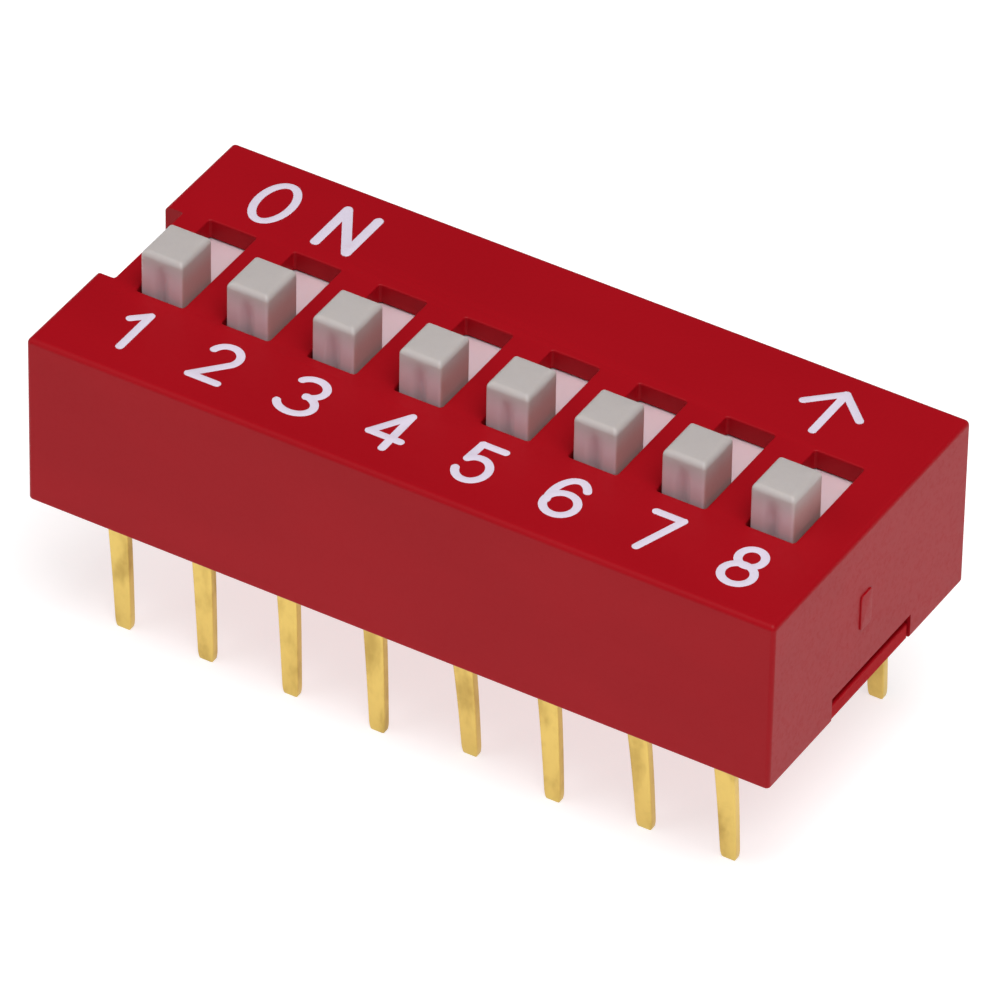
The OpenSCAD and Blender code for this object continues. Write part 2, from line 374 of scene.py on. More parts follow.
class Bench:
    """Builds the node tree of one material."""

    def __init__(self, name: str) -> None:
        """Starts a material with a Principled shader and an output.

        Args:
            name: Name of the material.
        """
        self.material = bpy.data.materials.new(name)
        self.material.use_nodes = True
        self.tree = self.material.node_tree
        self.tree.nodes.clear()
        self.shader = self.tree.nodes.new("ShaderNodeBsdfPrincipled")
        output = self.tree.nodes.new("ShaderNodeOutputMaterial")
        self.tree.links.new(self.shader.outputs[0], output.inputs[0])
        self.place = self.node("ShaderNodeTexCoord", output="Object")

    def node(
        self,
        kind: str,
        settings: Optional[Mapping[str, Any]] = None,
        inputs: Optional[Mapping[Union[int, str], Any]] = None,
        output: Union[int, str] = 0,
    ) -> Wire:
        """Adds any node.

        Args:
            kind: The node's type.
            settings: Properties that are set first.
            inputs: Values or wires for its sockets, by name or number.
            output: The socket that is returned.

        Returns:
            A wire from that socket.
        """
        made = self.tree.nodes.new(kind)
        for key, value in (settings or {}).items():
            setattr(made, key, value)
        for key, value in (inputs or {}).items():
            self.feed(made.inputs[key], value)
        return Wire(self, made.outputs[output])

    def feed(self, socket: NodeSocket, value: Any) -> None:
        """Links a wire to a socket, or sets the socket's own value.

        Args:
            socket: The input.
            value: A wire, a number, a colour or a vector.
        """
        if isinstance(value, Wire):
            self.tree.links.new(value.socket, socket)
        elif isinstance(value, tuple) and len(value) == 3 and socket.type == "RGBA":
            socket.default_value = (*value, 1.0)
        else:
            socket.default_value = value

    def set(self, **values: Any) -> None:
        """Sets or links the shader's sockets; an underscore in a name stands for a space."""
        for key, value in values.items():
            self.feed(self.shader.inputs[key.replace("_", " ")], value)

    def noise(self, size: float, detail: float = 3.0, stretch: Triple = (1.0, 1.0, 1.0)) -> Wire:
        """Noise about 0.5 whose blotches are about size millimetres across.

        Args:
            size: Size of the blotches.
            detail: Octaves of finer noise.
            stretch: How far it is squeezed along X, Y and Z.

        Returns:
            The noise.
        """
        squeezed = self.node("ShaderNodeMapping", inputs={"Vector": self.place, "Scale": stretch})
        inputs = {"Vector": squeezed, "Scale": 1.0 / (size * MM), "Detail": detail, "Roughness": 0.55}
        return self.node("ShaderNodeTexNoise", inputs=inputs)

    def cells(self, size: float) -> Wire:
        """Distance to the nearest of points scattered about size millimetres apart, in units of size."""
        return self.node("ShaderNodeTexVoronoi", inputs={"Vector": self.place, "Scale": 1.0 / (size * MM)})

    def axis(self, name: str) -> Wire:
        """One object coordinate, in millimetres."""
        return self.node("ShaderNodeSeparateXYZ", inputs={0: self.place}, output=name) * (1.0 / MM)

    def mix(self, low: Any, high: Any, factor: Term) -> Wire:
        """A colour that goes from low to high as factor goes from 0 to 1."""
        inputs = {0: factor, 6: low, 7: high}
        return self.node("ShaderNodeMix", {"data_type": "RGBA"}, inputs, output=2)

    def relief(self, height: Wire, depth: float, under: Optional[Wire] = None) -> Wire:
        """A bump of a given depth in millimetres, on top of another one.

        Args:
            height: Height of the surface, from 0 to 1.
            depth: Millimetres between 0 and 1.
            under: The normal that it is laid over.

        Returns:
            The normal.
        """
        inputs = {"Height": height, "Distance": depth * MM, "Strength": 1.0}
        if under is not None:
            inputs["Normal"] = under
        return self.node("ShaderNodeBump", inputs=inputs)


@dataclass(frozen=True)
class Moulding:
    """Injection-moulded plastic: even colour with faint flow shades, a fine matt grain and sparse specks.

    On a pale moulding, red light reflected from round it is painted into the colour: towards the foot of
    its walls it turns a painted pink reflection, and on the walls that face along X a darker painted shade
    mixed with red reflected light.
    """

    name: str
    colour: Colour
    shade: Colour
    roughness: float
    grain: float = 0.07
    depth: float = 0.0012
    reflection: float = 0.5
    glow: float = 0.0
    # Painted light: the first colour below is red reflected light painted on the lower walls, the second
    # painted shade with red reflected light on the walls that face along X; foot gives the heights where
    # both fade out.
    blush: Optional[Colour] = None
    flank: Colour = (0.5, 0.32, 0.31)
    foot: Pair = (5.6, 6.4)

    def material(self) -> Material:
        """Builds the material.

        Returns:
            The material.
        """
        bench = Bench(self.name)
        flow = bench.noise(3.5, 2.0, (0.5, 1.0, 1.4)).band(0.35, 0.68)
        speck = bench.noise(0.12, 4.0).band(0.42, 0.72)
        grain = bench.noise(self.grain, 4.0)
        ripple = bench.noise(1.1, 2.0, (0.6, 1.0, 1.0))
        colour = bench.mix(self.colour, self.shade, flow * 0.7 + speck * 0.3)
        # Painted light: red reflected light and shade painted into the colour of the lower walls, fading
        # out up the foot heights.
        if self.blush:
            facing = bench.node("ShaderNodeNewGeometry", output="Normal")
            sideways = bench.node("ShaderNodeSeparateXYZ", inputs={0: facing}, output="X")
            wall = bench.mix(self.blush, self.flank, (sideways * sideways).band(0.3, 0.9))
            colour = bench.mix(wall, colour, bench.axis("Z").band(*self.foot))
        bench.set(
            Base_Color=colour,
            Roughness=speck * 0.08 + grain * 0.1 + (self.roughness - 0.09),
            Normal=bench.relief(grain, self.depth, bench.relief(ripple, self.depth * 2.5)),
            IOR=1.5,
            Specular_IOR_Level=self.reflection,
        )
        if self.glow:
            bench.set(
                Subsurface_Weight=self.glow,
                Subsurface_Radius=(1.0, 0.85, 0.7),
                Subsurface_Scale=0.35 * MM,
            )
        return bench.material


@dataclass(frozen=True)
class GoldPlate:
    """Thin gold plating on a stamped strip: drawn streaks, small pits and browner thin patches."""

    name: str = "gold_plate"
    bright: Colour = (0.69, 0.5, 0.14)
    thin: Colour = (0.46, 0.31, 0.08)
    roughness: float = 0.34

    def material(self) -> Material:
        """Builds the material.

        Returns:
            The material.
        """
        bench = Bench(self.name)
        patch = bench.noise(0.7, 3.0, (1.0, 1.0, 0.5)).band(0.42, 0.72)
        streak = bench.noise(0.05, 3.0, (1.0, 1.0, 0.06))
        pit = bench.cells(0.11).band(0.05, 0.16)
        edge = bench.noise(0.3, 3.0).band(0.5, 0.8)
        bench.set(
            Base_Color=bench.mix(self.bright, self.thin, patch * 0.75 + edge * 0.2),
            Metallic=1.0,
            Roughness=patch * 0.12 + streak * 0.16 + (self.roughness - 0.08),
            Normal=bench.relief(streak, 0.0022, bench.relief(pit, 0.0012)),
        )
        return bench.material


@dataclass(frozen=True)
class PouredEpoxy:
    """Amber potting resin: glossy, a little cloudy, with small bubbles near the surface."""

    name: str = "epoxy"
    clear: Colour = (0.32, 0.17, 0.05)
    cloudy: Colour = (0.46, 0.29, 0.11)

    def material(self) -> Material:
        """Builds the material.

        Returns:
            The material.
        """
        bench = Bench(self.name)
        cloud = bench.noise(0.8, 4.0).band(0.35, 0.7)
        bubble = bench.cells(0.35).band(0.04, 0.11)
        bench.set(
            Base_Color=bench.mix(self.clear, self.cloudy, cloud * 0.8 + (1 - bubble) * 0.2),
            Roughness=cloud * 0.15 + 0.14,
            Normal=bench.relief(bubble, 0.006, bench.relief(cloud, 0.004)),
            IOR=1.55,
        )
        return bench.material


@dataclass(frozen=True)
class PrintInk:
    """Pad-printed ink: pale lilac white, thinner in pinholes where the plastic below tints it."""

    name: str = "print_ink"
    full: Colour = (0.71, 0.64, 0.76)
    thin: Colour = (0.6, 0.36, 0.44)

    def material(self) -> Material:
        """Builds the material.

        Returns:
            The material.
        """
        bench = Bench(self.name)
        pinhole = 1 - bench.cells(0.09).band(0.06, 0.22)
        patch = bench.noise(0.35, 4.0).band(0.5, 0.85)
        bench.set(
            Base_Color=bench.mix(self.full, self.thin, pinhole * 0.3 + patch * 0.25),
            Roughness=patch * 0.12 + 0.46,
            Normal=bench.relief(bench.noise(0.05, 4.0), 0.0015),
            IOR=1.5,
        )
        return bench.material


@dataclass(frozen=True)
class StudioPaper:
    """Plain pale paper for the floor, lit a little from behind so that no shadow is hard."""

    name: str = "studio_paper"
    colour: Colour = (0.55, 0.55, 0.55)
    glow: float = 0.68

    def material(self) -> Material:
        """Builds the material.

        Returns:
            The material.
        """
        bench = Bench(self.name)
        fibre = bench.noise(0.6, 4.0)
        bench.set(
            Base_Color=bench.mix(self.colour, tuple(c * 0.985 for c in self.colour), fibre),
            Roughness=0.95,
            Specular_IOR_Level=0.1,
            Emission_Color=(1.0, 1.0, 1.0),
            Emission_Strength=self.glow,
        )
        return bench.material


# Pieces


@dataclass
class Piece:
    """What every piece shares: a finish, and how its object is made and tied to the frame."""

    finish: Material

    def place(
        self, mesh: Mesh, body: str, slot: str, nodes: Sequence[str] = (), bevel: float = 0.0
    ) -> None:
        """Makes an object of a mesh, shades it, ties it to its body and hides the CAD nodes that it stands
        for.

        Args:
            mesh: The mesh.
            body: The body that it rides on.
            slot: Not used.
            nodes: CAD nodes that it stands for.
            bevel: Width of the round on its marked edges, or 0.
        """
        piece = linked(mesh.name, mesh)
        mesh.materials.clear()
        mesh.materials.append(self.finish)
        if bevel:
            edges = piece.modifiers.new("soft_edges", "BEVEL")
            edges.limit_method = "WEIGHT"
            edges.width = bevel * MM
            edges.segments = 3
            edges.use_clamp_overlap = True
        mesh.shade_smooth()
        mesh.set_sharp_from_angle(angle=CREASED)
        even = piece.modifiers.new("even_normals", "WEIGHTED_NORMAL")
        even.keep_sharp = True
        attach(piece, body)
        if nodes:
            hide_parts(*nodes)
        LOG.info("%s: %d faces on %s", piece.name, len(mesh.polygons), body)


@dataclass
class Cover(Piece):
    """Red shell: rounded block with eight windows, a channel under each, and a pocket for the base."""

    corner: float = 0.12
    top_round: float = 0.16
    rim_round: float = 0.08
    top_wall: float = 0.55
    end_wall: float = 1.0
    skirt_wall: float = 0.5
    floor_z: float = 2.1
    window_w: float = 1.42
    window_l: float = 3.5
    window_corner: float = 0.09
    window_edge: float = 0.05
    channel_w: float = 2.0
    channel_l: float = 7.68
    channel_corner: float = 0.05
    notch_w: float = 3.25
    notch_d: float = 0.55
    notch_h: float = 3.6
    slot_w: float = 3.95
    slot_h: float = 0.75
    slot_y: float = 0.2
    gate_w: float = 0.55
    gate_h: float = 1.1
    gate_t: float = 0.04
    gate_y: float = -0.25
    gate_z: float = 2.6
    soft_edge: float = 0.035

    def __post_init__(self) -> None:
        """Takes the block's outer size from the frame."""
        low, high = node_box("cover")
        self.half_l = float(-low[0])
        self.half_w = float(high[1])
        self.top = float(high[2])

    def block_loops(self, inset: np.ndarray) -> np.ndarray:
        """Outlines of the block, set in by each of some distances; the corners tighten as they go in."""
        corner = self.corner - (self.corner - 0.02) * np.clip(inset / self.top_round, 0, 1)
        return rounded_loops(self.half_l - inset, self.half_w - inset, corner, side=4)

    def shell(self) -> Surface:
        """Pocket wall, rim, outer wall and rounded top edge, as one run of level rings.

        The rim and the top edge are quarter rounds: the inset falls from the radius as one less the sine of
        the angle, and the drop grows as one less its cosine.

        Returns:
            The surface, without its sheets.
        """
        inset_top, drop_top = quarter(self.top_round, 9)
        inset_rim, rise_rim = quarter(self.rim_round, 6)
        inset = np.concatenate([inset_rim, inset_top[::-1]])
        height = np.concatenate([rise_rim, self.top - drop_top[::-1]])
        pocket = self.pocket_loop()
        loops = np.concatenate([pocket, pocket, self.block_loops(inset)])
        return Surface().stack(loops, np.concatenate([[self.floor_z, 0.0], height]))

    def pocket_loop(self) -> np.ndarray:
        """Outline of the pocket that takes the base."""
        half = self.half_l - self.end_wall, self.half_w - self.skirt_wall
        return rounded_loops(*half, self.channel_corner, side=4)

    def window(self, x: float) -> tuple[np.ndarray, np.ndarray]:
        """Loops and heights from a window's rolled edge down its wall, under the top and down the channel.

        Args:
            x: Middle of the window.

        Returns:
            Array (rings, points, 2) and the height of each ring.
        """
        roll, drop = quarter(self.window_edge, 4)
        ceiling = self.top - self.top_wall
        half_x = np.concatenate([self.window_w / 2 + roll, [self.window_w / 2], [self.channel_w / 2] * 2])
        half_y = np.concatenate([self.window_l / 2 + roll, [self.window_l / 2], [self.channel_l / 2] * 2])
        rounds = self.window_corner, self.channel_corner
        corner = np.concatenate([rounds[0] + roll, rounds[:1], rounds[1:] * 2])
        height = np.concatenate([self.top - drop, [ceiling, ceiling, self.floor_z]])
        return rounded_loops(half_x, half_y, corner, side=3) + np.array([x, 0.0]), height

    def build(self) -> None:
        """Builds the shell, cuts the notch and the end slots, and adds the gate mark."""
        surface = self.shell()
        wells = [self.window(switch_x(n)) for n in SWITCHES]
        for loops, height in wells:
            surface.stack(loops, height)
        face = self.block_loops(np.array([self.top_round]))[0]
        surface.sheet([face] + [loops[0] for loops, _ in wells], self.top)
        surface.sheet([self.pocket_loop()[0]] + [loops[-1] for loops, _ in wells], self.floor_z)
        mesh = surface.mesh("cover_shell")
        for tool, how in ((self.notch(), Cut.AWAY), (self.slots(), Cut.AWAY), (self.gate(), Cut.TOGETHER)):
            mesh = combined(mesh, tool.mesh("tool"), how)
        room = 0.05
        low = (-self.half_l - 1, -self.notch_w / 2 - room, self.top - self.notch_h - room)
        high = (-self.half_l + self.notch_d + room, self.notch_w / 2 + room, self.top + 1)
        mark_edges(mesh, low, high)
        for side in (-1, 1):
            x = sorted((side * (self.half_l + room), side * (self.half_l - self.end_wall - room)))
            y = [self.slot_y + turn * (self.slot_w / 2 + room) for turn in (-1, 1)]
            mark_edges(mesh, (x[0], y[0], 0.02), (x[1], y[1], self.slot_h + room))
        self.place(mesh, HOUSING, "cover_plastic", ["cover"], self.soft_edge)

    def notch(self) -> Surface:
        """Upright bar that cuts the key notch."""
        loops = rounded_loops([self.notch_d] * 2, self.notch_w / 2, 0.08) + np.array([-self.half_l, 0.0])
        return Surface().stack(loops, [self.top - self.notch_h, self.top + 1], caps=True)

    def slots(self) -> Surface:
        """Bar along the whole body that cuts the slot at the foot of each end wall."""
        loops = rounded_loops([self.half_l + 1] * 2, self.slot_w / 2, 0.05) + np.array([0.0, self.slot_y])
        return Surface().stack(loops, [-1.0, self.slot_h], caps=True)

    def gate(self) -> Surface:
        """Low pad left by the moulding gate, with rounded edges, standing on the switch 8 end.

        Returns:
            The pad, closed.
        """
        inset, drop = quarter(self.gate_t * 0.6, 4)
        inset, out = np.append(inset, 0.0), np.append(self.gate_t - drop, -0.1)
        loops = rounded_loops(self.gate_w / 2 - inset, self.gate_h / 2 - inset, self.gate_w / 5 - inset)
        x = np.broadcast_to(self.half_l + out[:, None], loops.shape[:2])
        points = np.stack([x, loops[..., 0] + self.gate_y, loops[..., 1] + self.gate_z], -1)
        return Surface().rings(points, caps=True)


@dataclass
class Base(Piece):
    """Red floor that carries the terminals: the CAD solid with its tongues' edges rounded."""

    tongue_y: float = 0.2
    tongue_w: float = 3.83
    tongue_h: float = 0.47
    soft_edge: float = 0.04

    def build(self) -> None:
        """Copies the CAD node, merges it and softens the edges of its tongues."""
        mesh = tidied(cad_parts["base"].data.copy(), flatten=True)
        mesh.name = "base_moulding"
        room, past_seal = 0.1, 0.4
        outer, inner = node_box("base")[1, 0] + room, node_box("front_seal")[1, 0] + past_seal
        half = self.tongue_w / 2 + room
        for side in (-1, 1):
            x = sorted((side * inner, side * outer))
            low = (x[0], self.tongue_y - half, -room)
            mark_edges(mesh, low, (x[1], self.tongue_y + half, self.tongue_h + room / 2))
        self.place(mesh, HOUSING, "base_plastic", ["base"], self.soft_edge)


@dataclass
class Seal(Piece):
    """Epoxy poured round one row of pins; its surface climbs the pins and the trough's wall."""

    row: Row
    climb: float = 0.05
    reach: float = 0.1
    pin_half_w: float = 0.31
    pin_half_t: float = 0.125

    def build(self) -> None:
        """Builds the bead as upright sections, one behind another along the trough.

        A section's half width follows the trough's round ends, as the square root of the radius squared
        less the square of the way into the end. The open surface faces the board. Its height falls from the
        wall and from each pin as an exponential of the distance.
        """
        node = f"{self.row.name.lower()}_seal"
        low, high = node_box(node)
        half_l, radius = (high[0] - low[0]) / 2, (high[1] - low[1]) / 2
        round_end = radius * (1 - np.cos(np.linspace(0, math.pi / 2, 12)))
        straight = np.linspace(-half_l + radius, half_l - radius, 260)
        x = np.concatenate([-half_l + round_end[:-1], straight, half_l - round_end[-2::-1]])
        half_w = np.sqrt(np.maximum(radius**2 - np.maximum(np.abs(x) - half_l + radius, 0) ** 2, 0))
        share = np.sin(np.linspace(-math.pi / 2, math.pi / 2, 17))
        y = half_w[:, None] * share
        pins = np.array([switch_x(n) for n in SWITCHES])
        beside = np.maximum(np.abs(x[:, None] - pins).min(1) - self.pin_half_w, 0)
        away = np.hypot(beside[:, None], np.maximum(np.abs(y) - self.pin_half_t, 0))
        wall = half_w[:, None] * (1 - np.abs(share))
        wet = np.maximum(np.exp(-away / self.reach), np.exp(-wall / self.reach))
        under = np.stack([y, low[2] + self.climb * (1 - wet)], -1)
        over = np.stack([y[:, [-1, 0]], np.full((len(x), 2), high[2])], -1)
        section = np.concatenate([under, over], 1) + np.array([(low[1] + high[1]) / 2, 0.0])
        along = np.broadcast_to(x[:, None, None], section.shape[:2] + (1,))
        mesh = Surface().rings(np.concatenate([along, section], 2)).mesh(f"{node}_bead")
        self.place(mesh, HOUSING, "epoxy", [node])


class Ring(NamedTuple):
    """One level ring of a slider: its height, half sizes, corner radius and groove depth."""

    z: float
    half_x: float
    half_y: float
    corner: float
    groove: float = 0.0


@dataclass
class Slider(Piece):
    """Nylon slider: one moulding of level rings, from the knob's top to the stake's head."""

    number: int
    knob_w: float = 1.24
    knob_l: float = 1.42
    edge: float = 0.17
    corner: float = 0.08
    top_corner: float = 0.03
    crown: float = 0.018
    fillet: float = 0.05
    groove: float = 0.13
    groove_half_w: float = 0.27
    groove_fade: float = 0.75
    plate_w: float = 1.9
    plate_l: float = 5.6
    plate_t: float = 0.5
    plate_drop: float = 0.6
    plate_edge: float = 0.05
    keel_w: float = 1.2
    keel_l: float = 1.5
    stake_r: float = 0.21
    head_r: float = 0.4
    head_t: float = 0.15
    contact_t: float = 0.1

    def __post_init__(self) -> None:
        """Takes the height of the plate's top from the frame."""
        self.plate_top = float(node_box("cover")[1, 2]) - self.plate_drop

    def knob(self, top: float) -> list[Ring]:
        """Rings of the knob: a crowned top, a quarter round, grooved walls and a fillet onto the plate.

        The crown falls with the square of the way out from its middle. The groove deepens down the wall as
        a smooth step.

        Args:
            top: Height of the knob's top.

        Returns:
            The rings, from the top down.
        """
        half_x, half_y = self.knob_w / 2, self.knob_l / 2
        flat_x, flat_y = half_x - self.edge, half_y - self.edge
        shares = (0.2, 0.45, 0.7, 0.88)
        small = self.top_corner
        rings = [Ring(top - self.crown * s**2, flat_x * s, flat_y * s, small * s) for s in shares]
        shoulder = top - self.crown
        for inset, drop in zip(*quarter(self.edge, 8)):
            corner = small + (self.corner - small) * (1 - inset / self.edge)
            rings.append(Ring(shoulder - drop, half_x - inset, half_y - inset, corner))
        foot = self.plate_top + self.fillet
        wall_top = shoulder - self.edge
        for z in np.linspace(wall_top, foot, 16)[1:]:
            depth = min((wall_top - z) / self.groove_fade, 1.0)
            rings.append(Ring(z, half_x, half_y, self.corner, self.groove * depth**2 * (3 - 2 * depth)))
        for rise, out in zip(*quarter(self.fillet, 3)):
            size = half_x + out, half_y + out, self.corner + out
            rings.append(Ring(self.plate_top + rise, *size, self.groove))
        return rings

    def plate(self) -> list[Ring]:
        """Rings of the plate under the cover's top, with rounded edges above and below.

        Returns:
            The rings, from the top down.
        """
        half_x, half_y = self.plate_w / 2, self.plate_l / 2
        bottom = self.plate_top - self.plate_t
        edge = list(zip(*quarter(self.plate_edge, 3)))
        above = [Ring(self.plate_top - d, half_x - i, half_y - i, 0.06 - i) for i, d in edge]
        below = [Ring(bottom + d, half_x - i, half_y - i, 0.06 - i) for i, d in reversed(edge)]
        return above + below

    def foot(self, low: float) -> list[Ring]:
        """Rings of the keel, the stake and its flattened head.

        Args:
            low: Height of the underside of the head.

        Returns:
            The rings, from the plate down.
        """
        half_x, half_y = self.keel_w / 2, self.keel_l / 2
        seat = low + self.head_t
        keel_z = seat + self.contact_t
        shares = (0, 0.5, 0.8, 0.95)
        dome = [(low + self.head_t * (1 - s), self.head_r * math.sqrt(1 - s**4)) for s in shares]
        rings = [Ring(z, half_x, half_y, 0.05) for z in (self.plate_top - self.plate_t, keel_z)]
        rings += [Ring(z, self.stake_r, self.stake_r, self.stake_r) for z in (keel_z, seat)]
        return rings + [Ring(z, radius, radius, radius) for z, radius in dome]

    def build(self) -> None:
        """Stacks the rings round the slider's middle and presses the two finger grooves in.

        Across the groove its depth falls off as half of one plus a cosine of the distance from the middle.
        """
        low, high = node_box(f"slider_{self.number}")
        rings = np.array(self.knob(high[2]) + self.plate() + self.foot(low[2]))
        z, half_x, half_y, corner, groove = rings.T
        loops = rounded_loops(half_x, half_y, corner, side=18)
        across = np.clip(np.abs(loops[..., 0]) / self.groove_half_w, 0, 1)
        press = groove[:, None] * (1 + np.cos(math.pi * across)) / 2
        loops[..., 1] -= np.sign(loops[..., 1]) * press
        name = f"slider_{self.number}_moulding"
        mesh = Surface().stack(loops + (low + high)[:2] / 2, z, caps=True).mesh(name)
        self.place(mesh, f"switch_{self.number}", "knob_plastic", [f"slider_{self.number}"])


@dataclass
class Terminal(Piece):
    """Stamped strip of one pin: a tapered pin, wider shoulders, a bend and the flat contact pad."""

    row: Row
    number: int
    lean: Pair = (0.0, 0.0)
    thick: float = 0.25
    bend_r: float = 0.15
    tip_w: float = 0.46
    pin_w: float = 0.62
    pad_w: float = 1.2
    pad_edge: float = 0.05
    pad_edge_l: float = 0.04
    shoulder_z: float = 1.1
    edge: float = 0.035
    tip_l: float = 0.3
    tip_share: float = 0.8
    lean_power: float = 0.6

    def sections(self, low: float, high: float, reach: float) -> tuple[np.ndarray, ...]:
        """Rings along the strip: where each lies, which way it faces, and how wide and thick it is.

        The strip rises from the tip, turns through a quarter circle and runs level to the pad's end. The
        pin widens evenly from its tip to the base, and its last stretch rounds off as a quarter ellipse.

        Args:
            low: Height of the tip.
            high: Height of the pad's face.
            reach: Distance from the strip's outer face to the pad's end.

        Returns:
            Distance inwards, height, turn in radians, width and thickness of each ring.
        """
        outer = self.bend_r + self.thick
        turn = np.linspace(0, math.pi / 2, 9)
        tip = low + self.tip_l * (1 - np.cos(np.linspace(0, math.pi / 2, 9)))
        straight = np.concatenate([tip, np.linspace(tip[-1], 0, 12)[1:], [self.shoulder_z] * 2])
        level = np.array([reach - self.pad_edge_l, reach])
        half = self.thick / 2
        inward = [np.full(len(straight), half), outer - (outer - half) * np.cos(turn), level]
        height = [straight, high - outer + (outer - half) * np.sin(turn), level * 0 + high - half]
        facing = np.concatenate([straight * 0, turn, level * 0 + math.pi / 2])
        inward, height = np.concatenate(inward), np.concatenate(height)
        width = np.full(len(facing), self.pad_w)
        pin = len(straight) - 1
        width[:pin] = self.pin_w + (self.tip_w - self.pin_w) * np.clip(height[:pin] / low, 0, 1)
        ends = np.clip((height - low) / self.tip_l, 0, 1)
        ends = self.tip_share + (1 - self.tip_share) * np.sqrt(1 - (1 - ends) ** 2)
        width, thick = width * ends, self.thick * ends
        width[-1], thick[-1] = width[-1] - self.pad_edge, thick[-1] - self.pad_edge
        return inward, height, facing, width, thick

    def build(self) -> None:
        """Carries the rounded section along the strip; a pin's lean grows with a power of the way down."""
        node = f"{self.row.name.lower()}_terminal_{self.number}"
        low, high = node_box(node)
        sections = self.sections(low[2], high[2], high[1] - low[1])
        inward, height, facing, width, thick = sections
        loops = rounded_loops(width / 2, thick / 2, np.minimum(self.edge, thick / 3), arc=3, side=2)
        x = (low[0] + high[0]) / 2 + loops[..., 0]
        inward = inward[:, None] + loops[..., 1] * np.cos(facing)[:, None]
        z = height[:, None] - loops[..., 1] * np.sin(facing)[:, None]
        y = low[1] + inward if self.row is Row.FRONT else high[1] - inward
        down = np.clip(z / low[2], 0, 1) ** self.lean_power
        points = np.stack([x + self.lean[0] * down, y + self.lean[1] * down, z], -1)
        mesh = Surface().rings(points, caps=True).mesh(f"{node}_strip")
        self.place(mesh, HOUSING, "gold_plate", [node])


def arc(middle: Pair, radii: Pair, start: float, end: float) -> np.ndarray:
    """Points (n, 2) along an ellipse from one angle to another, in degrees, about every 9 degrees."""
    angle = np.radians(np.linspace(start, end, max(3, round(abs(end - start) / 9))))
    return np.array(middle) + np.array(radii) * np.stack([np.cos(angle), np.sin(angle)], -1)


def segments(*points: Pair) -> list[np.ndarray]:
    """Straight strokes that join points one after another."""
    return [np.array(pair) for pair in zip(points, points[1:])]


def strokes(sign: str) -> list[np.ndarray]:
    """Middle lines of one sign's strokes, in a field from -1 to 1 each way.

    Args:
        sign: A digit, a letter, or ^ for a plain arrow.

    Returns:
        One array of points for each stroke.
    """
    drawn = {
        "1": segments((-0.75, 0.52), (0.2, 1), (0.2, -1)),
        "2": [arc((0, 0.45), (0.95, 0.55), 165, -35)] + segments((0.778, 0.135), (-1, -1), (1, -1)),
        "3": [arc((-0.05, 0.5), (1, 0.5), 150, -80), arc((-0.1, -0.47), (1.2, 0.53), 80, -160)],
        "4": segments((0.45, -1), (0.45, 1), (-1.08, -0.4), (1.08, -0.4)),
        "5": segments((0.85, 1), (-0.7, 1), (-0.82, 0.07)) + [arc((-0.05, -0.35), (1, 0.65), 140, -160)],
        "6": [arc((0, 0), (1.04, 1), 40, 205), arc((0, -0.4), (1.04, 0.6), 0, 360)],
        "7": segments((-0.9, 1), (0.95, 1), (-0.25, -1)),
        "8": [arc((0, 0.52), (0.8, 0.48), 0, 360), arc((0, -0.45), (1, 0.55), 0, 360)],
        "O": [arc((0, 0), (1, 1), 0, 360)],
        "N": segments((-1, -1), (-1, 1), (1, -1), (1, 1)),
        "^": segments((0, -1), (0, 1), (-0.9, 0.1)) + segments((0, 1), (0.9, 0.1)),
    }
    return drawn[sign]


